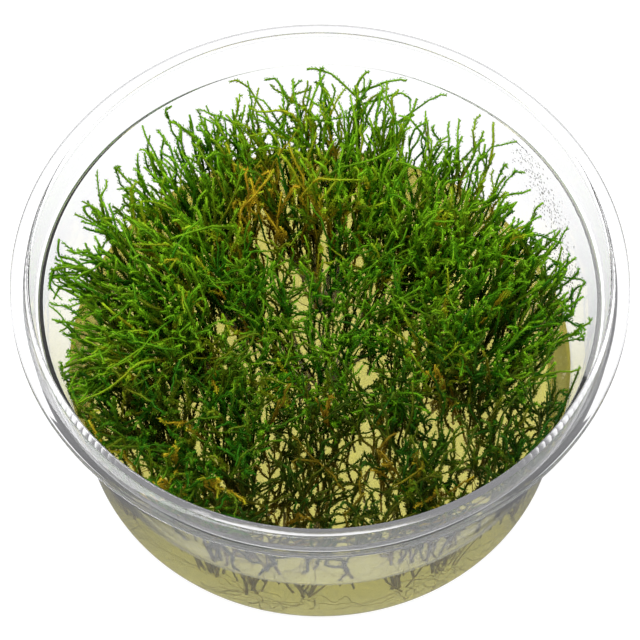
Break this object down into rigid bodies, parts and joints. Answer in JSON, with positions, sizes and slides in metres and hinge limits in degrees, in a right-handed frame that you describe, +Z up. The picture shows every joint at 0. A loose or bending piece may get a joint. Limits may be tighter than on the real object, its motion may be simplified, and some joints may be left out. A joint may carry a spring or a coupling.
{
  "type": "moss clump in a clear culture cup",
  "caption": "Round clump of fine branching water moss, rooted in pale set jelly inside a shallow clear tapered cup with a stepped rim.",
  "frame": {"origin": "centre of the cup's flat underside", "axes": "+Z up out of the cup's mouth, -Y towards the viewer, +X to the viewer's right"},
  "size_m": [0.1, 0.1, 0.0465],
  "materials": {
    "clear_plastic": "clear, glossy, thin moulded plastic",
    "nutrient_jelly": "clear, wet, faintly yellow set jelly",
    "moss": "matte green scale-leaved shoots, yellow-green at the tips and brown at the foot"
  },
  "bodies": {
    "root": {"cup": "clear_plastic", "jelly": "nutrient_jelly", "tuft_right": "moss", "tuft_back_right": "moss", "tuft_back": "moss", "tuft_back_left": "moss", "tuft_left": "moss", "tuft_front_left": "moss", "tuft_front": "moss", "tuft_front_right": "moss", "mat_middle": "moss"}
  },
  "joints": []
}
